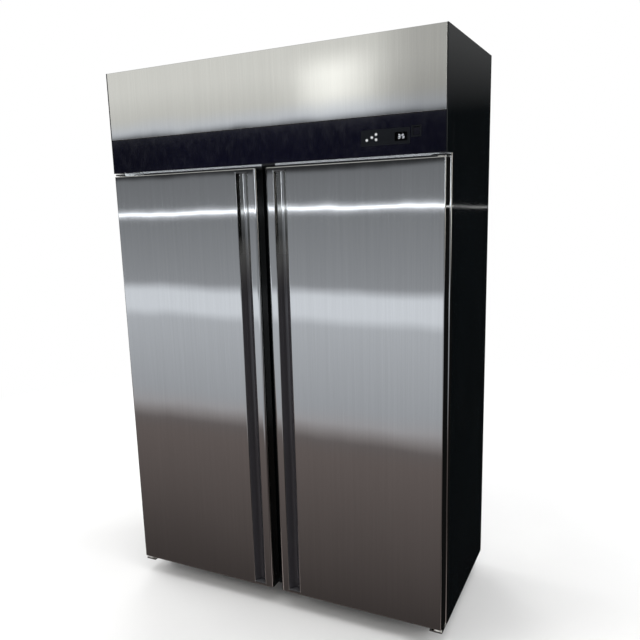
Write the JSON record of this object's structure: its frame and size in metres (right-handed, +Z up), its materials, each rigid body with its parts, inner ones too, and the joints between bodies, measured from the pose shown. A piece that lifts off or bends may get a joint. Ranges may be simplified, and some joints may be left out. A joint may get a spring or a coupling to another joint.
{
  "type": "reach in refrigerator",
  "caption": "Upright reach-in refrigerator with full-height stainless doors that have recessed edge grips, a black control band and a lift-up header over a top-mounted cooling unit.",
  "frame": {"origin": "on the floor, under the middle of the cabinet's width and depth", "axes": "+Z up, the doors face -Y, +X towards the user's right"},
  "size_m": [1.22, 0.61, 1.94],
  "materials": {
    "stainless": "satin",
    "side_black": "satin",
    "band_black": "gloss",
    "control_black": "satin",
    "switch_black": "gloss",
    "key_grey": "satin",
    "display_glass": "gloss",
    "liner_steel": "satin",
    "galvanised": "matte",
    "foam": "matte",
    "gasket_rubber": "matte",
    "nylon": "satin",
    "strip_plastic": "satin",
    "shelf_coating": "satin",
    "zinc": "satin",
    "foot_steel": "satin",
    "bumper_rubber": "matte",
    "gland_plastic": "satin",
    "drain_plastic": "satin",
    "fin_aluminium": "satin",
    "housing_aluminium": "satin",
    "motor_black": "satin",
    "guard_black": "satin",
    "compressor_black": "satin",
    "copper": "satin",
    "fan_plastic": "satin",
    "box_grey": "satin",
    "lamp_white": "satin"
  },
  "bodies": {
    "cabinet": {"side_panel_left": "side_black", "wire_shelves_left": "shelf_coating", "side_panel_right": "side_black", "wire_shelves_right": "shelf_coating", "hinge_brackets": "stainless", "rear_panel": "galvanised", "bottom_panel": "galvanised", "insulation": "foam", "inner_liner": "liner_steel", "front_frame": "stainless", "mullion": "side_black", "breaker_strips": "strip_plastic", "machine_deck": "galvanised", "rear_grille": "galvanised", "top_cover": "galvanised", "hood": "side_black", "control_fascia": "band_black", "controller_body": "control_black", "display_lens": "display_glass", "base_rails": "galvanised", "condensate_pan": "galvanised", "drain_tube": "drain_plastic", "wall_bumpers": "bumper_rubber", "cable_gland": "gland_plastic", "panel_screws": "zinc", "pilasters": "zinc", "shelf_clips": "zinc", "interior_lamps": "lamp_white", "evaporator_housing": "housing_aluminium", "evaporator_coil": "fin_aluminium", "fan_motors": "motor_black", "fan_guards": "guard_black", "compressor": "compressor_black", "condenser_coil": "fin_aluminium", "fan_shroud": "galvanised", "refrigerant_pipes": "copper", "electrical_box": "box_grey"},
    "left_door": {"door_skin_left": "stainless", "door_foam_left": "foam", "door_inner_panel_left": "liner_steel", "door_gasket_left": "gasket_rubber", "door_bushes_left": "nylon"},
    "right_door": {"door_skin_right": "stainless", "door_foam_right": "foam", "door_inner_panel_right": "liner_steel", "door_gasket_right": "gasket_rubber", "door_bushes_right": "nylon"},
    "header": {"header_panel": "stainless"},
    "rocker": {"power_rocker": "switch_black"},
    "key_set": {"controller_key_set": "key_grey"},
    "key_up": {"controller_key_up": "key_grey"},
    "key_down": {"controller_key_down": "key_grey"},
    "key_defrost": {"controller_key_defrost": "key_grey"},
    "condenser_fan_wheel": {"condenser_fan": "fan_plastic"},
    "evaporator_fan_wheel_left": {"evaporator_fan_left": "fan_plastic"},
    "evaporator_fan_wheel_right": {"evaporator_fan_right": "fan_plastic"},
    "foot_front_left": {"levelling_foot_front_left": "foot_steel"},
    "foot_front_right": {"levelling_foot_front_right": "foot_steel"},
    "foot_rear_left": {"levelling_foot_rear_left": "foot_steel"},
    "foot_rear_right": {"levelling_foot_rear_right": "foot_steel"}
  },
  "joints": [
    {"name": "left_door_hinge", "type": "hinge", "parent": "cabinet", "child": "left_door", "pos_m": [-0.59, -0.283, 0], "axis": [0, 0, -1], "range_deg": [0, 110]},
    {"name": "right_door_hinge", "type": "hinge", "parent": "cabinet", "child": "right_door", "pos_m": [0.59, -0.283, 0], "axis": [0, 0, 1], "range_deg": [0, 110]},
    {"name": "header_lift", "type": "hinge", "parent": "cabinet", "child": "header", "pos_m": [0, -0.296, 1.93], "axis": [-1, 0, 0], "range_deg": [0, 75]},
    {"name": "power_switch", "type": "hinge", "parent": "cabinet", "child": "rocker", "pos_m": [0.52, -0.298, 1.658], "axis": [-1, 0, 0], "range_deg": [0, 16]},
    {"name": "key_set_press", "type": "slide", "parent": "cabinet", "child": "key_set", "axis": [0, 1, 0], "range_m": [0, 0.001], "stiffness_N_per_m": 400, "springref_m": -0.001},
    {"name": "key_up_press", "type": "slide", "parent": "cabinet", "child": "key_up", "axis": [0, 1, 0], "range_m": [0, 0.001], "stiffness_N_per_m": 400, "springref_m": -0.001},
    {"name": "key_down_press", "type": "slide", "parent": "cabinet", "child": "key_down", "axis": [0, 1, 0], "range_m": [0, 0.001], "stiffness_N_per_m": 400, "springref_m": -0.001},
    {"name": "key_defrost_press", "type": "slide", "parent": "cabinet", "child": "key_defrost", "axis": [0, 1, 0], "range_m": [0, 0.001], "stiffness_N_per_m": 400, "springref_m": -0.001},
    {"name": "condenser_fan_spin", "type": "hinge", "parent": "cabinet", "child": "condenser_fan_wheel", "pos_m": [0.13, 0.022, 1.74], "axis": [0, 1, 0], "continuous": true},
    {"name": "evaporator_fan_spin_left", "type": "hinge", "parent": "cabinet", "child": "evaporator_fan_wheel_left", "pos_m": [-0.21, 0.094, 1.4625], "axis": [0, 1, 0], "continuous": true},
    {"name": "evaporator_fan_spin_right", "type": "hinge", "parent": "cabinet", "child": "evaporator_fan_wheel_right", "pos_m": [0.21, 0.094, 1.4625], "axis": [0, 1, 0], "continuous": true},
    {"name": "foot_front_left_screw", "type": "slide", "parent": "cabinet", "child": "foot_front_left", "axis": [0, 0, -1], "range_m": [0, 0.02]},
    {"name": "foot_front_right_screw", "type": "slide", "parent": "cabinet", "child": "foot_front_right", "axis": [0, 0, -1], "range_m": [0, 0.02]},
    {"name": "foot_rear_left_screw", "type": "slide", "parent": "cabinet", "child": "foot_rear_left", "axis": [0, 0, -1], "range_m": [0, 0.02]},
    {"name": "foot_rear_right_screw", "type": "slide", "parent": "cabinet", "child": "foot_rear_right", "axis": [0, 0, -1], "range_m": [0, 0.02]}
  ]
}
